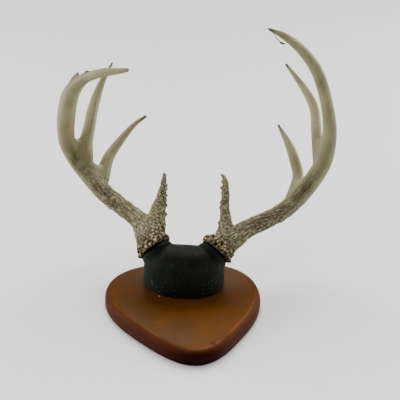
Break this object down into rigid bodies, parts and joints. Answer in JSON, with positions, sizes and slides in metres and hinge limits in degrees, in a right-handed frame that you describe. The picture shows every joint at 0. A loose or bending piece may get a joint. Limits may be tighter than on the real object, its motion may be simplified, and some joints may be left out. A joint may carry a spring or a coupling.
{
  "type": "antler mounting plaque",
  "caption": "Pair of branched antlers on a black moulded skull cap cover, fixed to a rounded-triangular stained wood board.",
  "frame": {"origin": "middle of the board's flat back, which lies on the table and goes against the wall", "axes": "+Z out of the board's front, -Y towards the board's point, which is down on a wall, +X to the right of someone who faces it"},
  "size_m": [0.3679, 0.3946, 0.3498],
  "materials": {
    "board": "satin",
    "cover": "matte",
    "antler": "satin"
  },
  "bodies": {
    "root": {"plaque": "board", "skull_cap_cover": "cover", "antler_left": "antler", "antler_right": "antler"}
  },
  "joints": []
}
